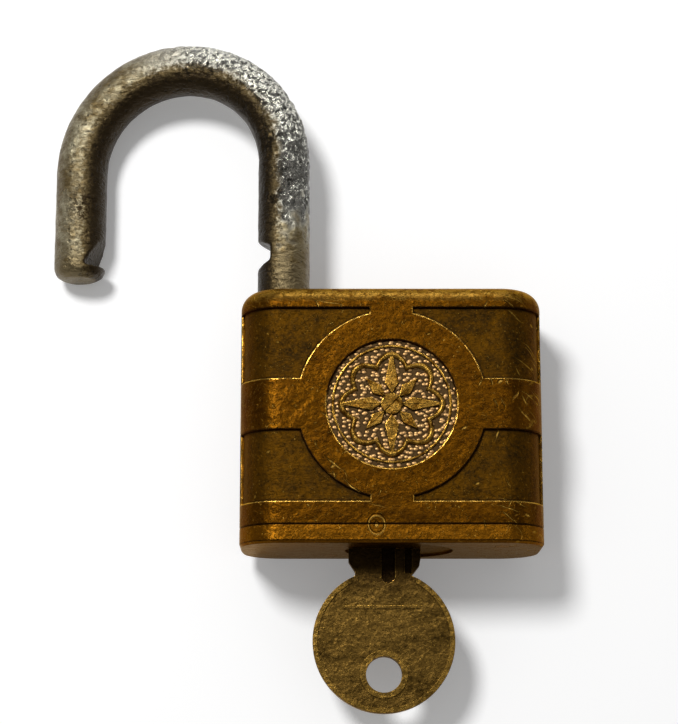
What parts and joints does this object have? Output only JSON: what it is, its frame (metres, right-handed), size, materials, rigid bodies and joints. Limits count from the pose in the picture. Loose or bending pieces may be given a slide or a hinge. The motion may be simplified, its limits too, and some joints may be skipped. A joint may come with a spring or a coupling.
{
  "type": "antique pin-tumbler padlock",
  "caption": "Old brass padlock lying on its back, steel shackle raised and swung aside, flat round-bow key in its cylinder and half turned; both shackle legs lock by bolts.",
  "frame": {"origin": "centre of the flat back that it lies on", "axes": "+X to the right seen from the front, +Y along the shackle legs towards the bow, +Z out of the front"},
  "size_m": [0.0844, 0.1179, 0.022],
  "materials": {
    "case_brass": "worn, brown patina in the panels, golden raised bands",
    "plate_brass": "worn, dull brown",
    "cylinder_brass": "dull brown",
    "shackle_steel": "old, finely hammered and pitted",
    "key_brass": "dark olive patina with worn rims",
    "pin_brass": "turned",
    "spring_steel": "bright wire",
    "bolt_steel": "oiled steel"
  },
  "bodies": {
    "case": {"case": "case_brass", "bottom_plate": "plate_brass", "plate_rivet_1": "plate_brass", "plate_rivet_2": "plate_brass", "cylinder_shell": "cylinder_brass", "chamber_cover": "cylinder_brass", "driver_pin_1": "pin_brass", "driver_pin_2": "pin_brass", "driver_pin_3": "pin_brass", "driver_pin_4": "pin_brass", "driver_pin_5": "pin_brass", "driver_spring_1": "spring_steel", "driver_spring_2": "spring_steel", "driver_spring_3": "spring_steel", "driver_spring_4": "spring_steel", "driver_spring_5": "spring_steel", "shackle_spring": "spring_steel"},
    "heel_follower": {"heel_follower": "bolt_steel"},
    "shackle": {"shackle": "shackle_steel", "heel_clip": "spring_steel"},
    "plug": {"plug": "cylinder_brass", "key_pin_1": "pin_brass", "key_pin_2": "pin_brass", "key_pin_3": "pin_brass", "key_pin_4": "pin_brass", "key_pin_5": "pin_brass", "cam": "bolt_steel", "cam_screw": "bolt_steel"},
    "key": {"key": "key_brass"},
    "toe_bolt": {"toe_bolt": "bolt_steel", "bolt_spring_1": "spring_steel"},
    "heel_bolt": {"heel_bolt": "bolt_steel", "bolt_spring_2": "spring_steel"}
  },
  "joints": [
    {"name": "shackle_lift", "type": "slide", "parent": "case", "child": "heel_follower", "axis": [0, 1, 0], "range_m": [-0.014, 0], "stiffness_N_per_m": 300, "springref_m": 0.01, "deforming": ["shackle_spring"]},
    {"name": "shackle_swing", "type": "hinge", "parent": "heel_follower", "child": "shackle", "pos_m": [-0.01835, 0, 0.011], "axis": [0, 1, 0], "range_deg": [-169.8, 190.2]},
    {"name": "plug_turn", "type": "hinge", "parent": "case", "child": "plug", "pos_m": [-0.0013, 0, 0.011], "axis": [0, 1, 0], "range_deg": [0, 180]},
    {"name": "key_draw", "type": "slide", "parent": "plug", "child": "key", "axis": [0, -1, 0], "range_m": [0, 0.03]},
    {"name": "toe_bolt_slide", "type": "slide", "parent": "case", "child": "toe_bolt", "axis": [1, 0, 0], "range_m": [0, 0.0021], "deforming": ["bolt_spring_1"]},
    {"name": "heel_bolt_slide", "type": "slide", "parent": "case", "child": "heel_bolt", "axis": [-1, 0, 0], "range_m": [0, 0.0021], "deforming": ["bolt_spring_2"]}
  ],
  "couplings": [
    {"joint": "toe_bolt_slide", "follows": "plug_turn", "m_per_rad": 0.00066845},
    {"joint": "heel_bolt_slide", "follows": "plug_turn", "m_per_rad": 0.00066845}
  ]
}
